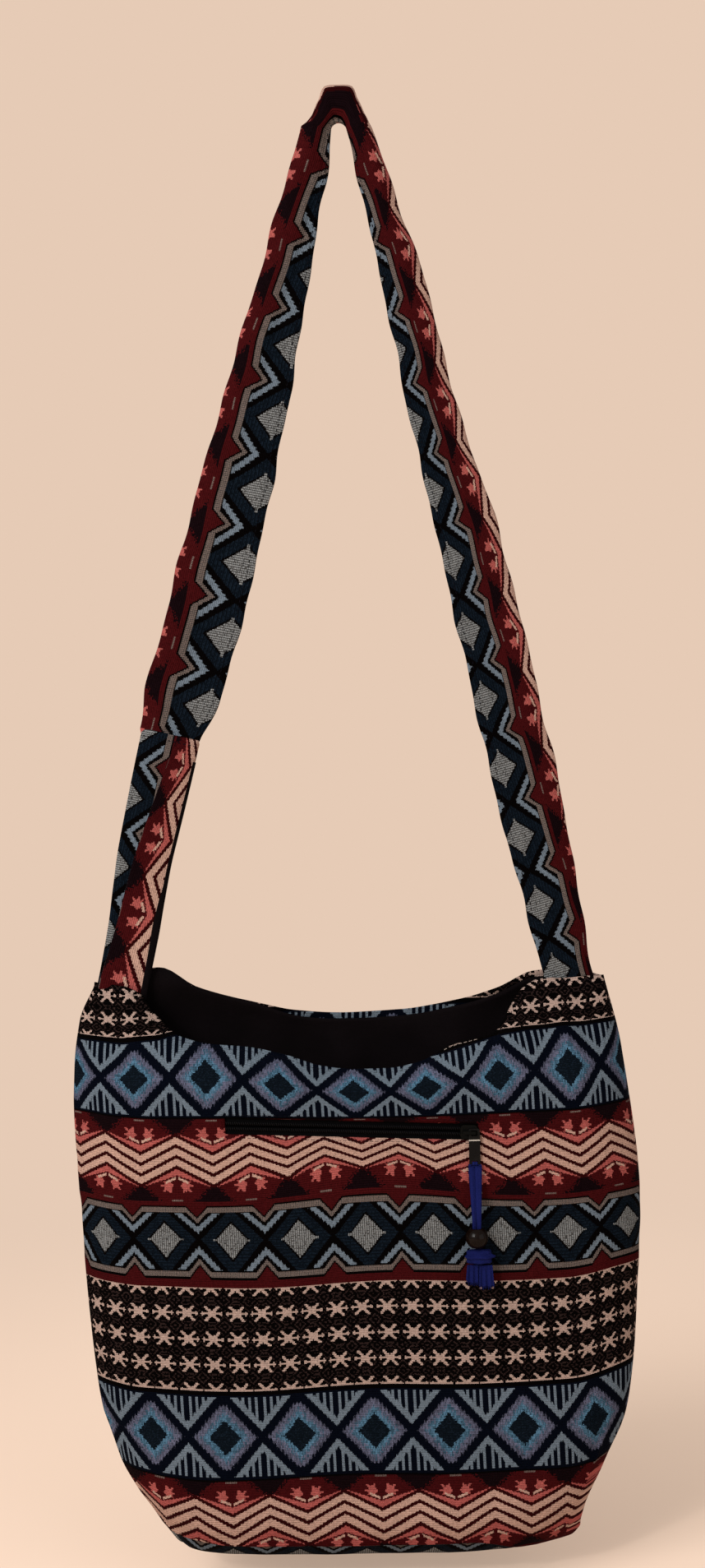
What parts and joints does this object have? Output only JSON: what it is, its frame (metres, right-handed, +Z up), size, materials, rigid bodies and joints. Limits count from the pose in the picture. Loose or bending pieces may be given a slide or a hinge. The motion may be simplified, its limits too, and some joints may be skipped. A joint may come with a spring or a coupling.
{
  "type": "crossbody bag",
  "caption": "Soft crossbody bag of banded woven cloth, hanging by its long strap, with an open mouth, a dark lining and a front zip pocket with a tasselled pull.",
  "frame": {"origin": "where the middle of the strap bears on the peg or shoulder that carries the bag, on the strap's inner edge", "axes": "+Z up; the bag's front with the zip faces -Y; +X is to the right as the front is seen"},
  "size_m": [0.3598, 0.0788, 0.9371],
  "materials": {
    "front_cloth": "jacquard weave in bands",
    "back_cloth": "jacquard weave in bands",
    "strap_cloth": "jacquard weave in lengthwise bands",
    "stub_cloth": "jacquard weave in lengthwise bands",
    "lining_cloth": "plain cotton",
    "pouch_cloth": "plain cotton",
    "zip_tape": "woven tape",
    "zip_coil": "nylon coil",
    "slider_enamel": "black enamel",
    "tab_enamel": "black enamel",
    "tassel_cotton": "blue cotton strips",
    "bead_wood": "dark lacquer"
  },
  "bodies": {
    "bag": {"front_panel": "front_cloth", "back_panel": "back_cloth", "front_lining": "lining_cloth", "back_lining": "lining_cloth", "pocket_pouch": "pouch_cloth", "strap": "strap_cloth", "strap_stub": "stub_cloth", "zip_tape_upper": "zip_tape", "zip_tape_lower": "zip_tape", "zip_coil_upper": "zip_coil", "zip_coil_lower": "zip_coil"},
    "slider": {"zip_slider": "slider_enamel"},
    "tab": {"pull_tab": "tab_enamel"},
    "tassel": {"tassel_cord_left": "tassel_cotton", "tassel_cord_right": "tassel_cotton", "tassel_knot": "tassel_cotton", "tassel_tail_left": "tassel_cotton", "tassel_tail_right": "tassel_cotton"},
    "bead": {"tassel_bead": "bead_wood"}
  },
  "joints": [
    {"name": "zip_slide", "type": "slide", "parent": "bag", "child": "slider", "axis": [-0.9991, 0, 0.0419], "range_m": [0, 0.1455]},
    {"name": "tab_swing", "type": "hinge", "parent": "slider", "child": "tab", "pos_m": [0.07208, -0.0396, -0.64018], "axis": [0, 1, 0], "range_deg": [-90, 45]},
    {"name": "tassel_lift", "type": "hinge", "parent": "tab", "child": "tassel", "pos_m": [0.07208, -0.0396, -0.65938], "axis": [-1, 0, 0], "range_deg": [0, 100]},
    {"name": "bead_slide", "type": "slide", "parent": "tassel", "child": "bead", "axis": [0, 0, 1], "range_m": [0, 0.008]}
  ]
}
